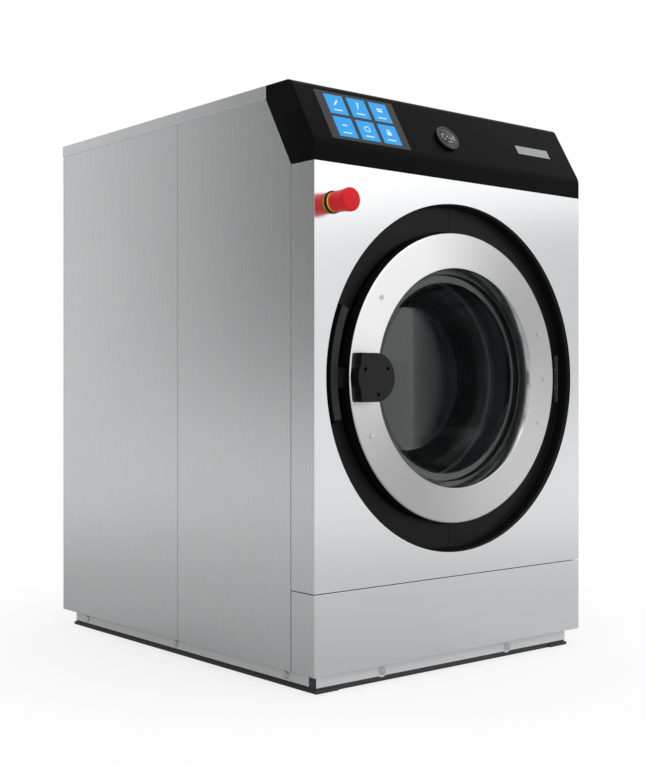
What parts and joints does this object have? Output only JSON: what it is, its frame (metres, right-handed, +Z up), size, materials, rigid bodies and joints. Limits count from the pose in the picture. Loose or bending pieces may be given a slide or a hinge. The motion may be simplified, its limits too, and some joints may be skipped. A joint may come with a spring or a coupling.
{
  "type": "washer extractor",
  "caption": "Floor-anchored front-loading washer extractor with a steel cabinet, sloping control console, round glass door, emergency stop and belt-driven perforated drum.",
  "frame": {"origin": "on the floor, at the centre of the floor anchor pattern and of the cabinet's footprint", "axes": "+Z up, the front with the door faces -Y, +X to the right as seen from the front"},
  "size_m": [0.723, 0.9996, 1.09],
  "materials": {
    "frame_paint": "satin dark grey paint",
    "frame_steel": "galvanised steel",
    "skirt_steel": "brushed stainless",
    "side_steel": "brushed stainless",
    "front_steel": "brushed stainless",
    "cover_steel": "brushed stainless",
    "bolt_steel": "bright zinc",
    "console_black": "fine satin texture",
    "screen_glass": "dark glass front",
    "badge_metal": "satin, blank",
    "knob_plastic": "satin",
    "inner_plastic": "moulded",
    "stop_black": "satin",
    "stop_yellow": "moulded",
    "stop_red": "moulded",
    "surround_black": "moulded",
    "ring_steel": "brushed, polished lip",
    "carrier_black": "moulded",
    "bowl_glass": "pressed borosilicate",
    "gasket_rubber": "moulded",
    "grip_plastic": "moulded",
    "tub_steel": "stainless",
    "drum_steel": "stainless, perforated",
    "spider_casting": "cast",
    "shaft_steel": "ground",
    "housing_iron": "painted casting",
    "belt_rubber": "ribbed",
    "motor_paint": "painted aluminium",
    "valve_plastic": "moulded"
  },
  "bodies": {
    "cabinet": {"base_frame": "frame_paint", "skirt_front": "skirt_steel", "side_skirts": "skirt_steel", "skirt_bolts": "bolt_steel", "cabinet_frame": "frame_steel", "side_panel_left_front": "side_steel", "side_panel_left_rear": "side_steel", "side_panel_right_front": "side_steel", "side_panel_right_rear": "side_steel", "rear_panel": "side_steel", "front_panel": "front_steel", "lower_front_panel": "front_steel", "top_cover": "cover_steel", "console_housing": "console_black", "touch_screen": "screen_glass", "badge_plate": "badge_metal", "selector_encoder": "inner_plastic", "stop_collar": "stop_black", "stop_ring": "stop_yellow", "stop_contacts": "inner_plastic", "surround_left": "surround_black", "surround_right": "surround_black", "hinge_bracket": "frame_steel", "hinge_pin": "bolt_steel", "door_lock": "inner_plastic", "tub_shell": "tub_steel", "tub_front": "tub_steel", "tub_back": "tub_steel", "mouth_seal": "gasket_rubber", "heating_elements": "tub_steel", "bearing_housing": "housing_iron", "bearings": "shaft_steel", "shaft_seal": "gasket_rubber", "drive_belt": "belt_rubber", "motor": "motor_paint", "drain_valve": "valve_plastic", "water_inlets": "valve_plastic", "cable_gland": "valve_plastic"},
    "door": {"door_ring": "ring_steel", "door_carrier": "carrier_black", "door_glass": "bowl_glass", "door_gasket": "gasket_rubber", "door_screws": "bolt_steel", "latch_housing": "carrier_black", "handle_pin": "bolt_steel", "hinge_leaf": "frame_steel"},
    "handle": {"handle_lever": "grip_plastic"},
    "lock_bolt": {"lock_bolt": "bolt_steel"},
    "stop_plunger": {"stop_stem": "bolt_steel"},
    "stop_button": {"stop_head": "stop_red"},
    "selector_plunger": {"selector_shaft": "bolt_steel"},
    "selector_dial": {"selector_knob": "knob_plastic"},
    "drum": {"drum_shell": "drum_steel", "drum_front": "drum_steel", "drum_back": "drum_steel", "drum_lifters": "drum_steel", "drum_spider": "spider_casting", "drum_shaft": "shaft_steel", "drum_pulley": "housing_iron"},
    "motor_rotor": {"motor_pulley": "housing_iron"}
  },
  "joints": [
    {"name": "door_swing", "type": "hinge", "parent": "cabinet", "child": "door", "pos_m": [0.3, -0.436, 0.558], "axis": [0, 0, 1], "range_deg": [0, 120]},
    {"name": "handle_pull", "type": "hinge", "parent": "door", "child": "handle", "pos_m": [-0.256, -0.435, 0.558], "axis": [0, 0, 1], "range_deg": [0, 20], "stiffness_Nm_per_rad": 3},
    {"name": "bolt_slide", "type": "slide", "parent": "cabinet", "child": "lock_bolt", "axis": [0, 0, -1], "range_m": [0, 0.022], "stiffness_N_per_m": 300},
    {"name": "stop_push", "type": "slide", "parent": "cabinet", "child": "stop_plunger", "axis": [0, 1, 0], "range_m": [0, 0.004], "stiffness_N_per_m": 1500},
    {"name": "stop_twist", "type": "hinge", "parent": "stop_plunger", "child": "stop_button", "pos_m": [-0.317, -0.451, 0.866], "axis": [0, 1, 0], "range_deg": [0, 35], "stiffness_Nm_per_rad": 0.3},
    {"name": "selector_push", "type": "slide", "parent": "cabinet", "child": "selector_plunger", "axis": [0, 0.866, -0.5], "range_m": [0, 0.0015], "stiffness_N_per_m": 1500},
    {"name": "selector_turn", "type": "hinge", "parent": "selector_plunger", "child": "selector_dial", "pos_m": [-0.009, -0.42501, 1.01901], "axis": [0, -0.866, 0.5], "continuous": true},
    {"name": "drum_spin", "type": "hinge", "parent": "cabinet", "child": "drum", "pos_m": [0, 0, 0.558], "axis": [0, 1, 0], "continuous": true},
    {"name": "motor_spin", "type": "hinge", "parent": "cabinet", "child": "motor_rotor", "pos_m": [0.18, 0, 0.15], "axis": [0, 1, 0], "continuous": true}
  ],
  "couplings": [
    {"joint": "motor_spin", "follows": "drum_spin", "ratio": 5}
  ]
}
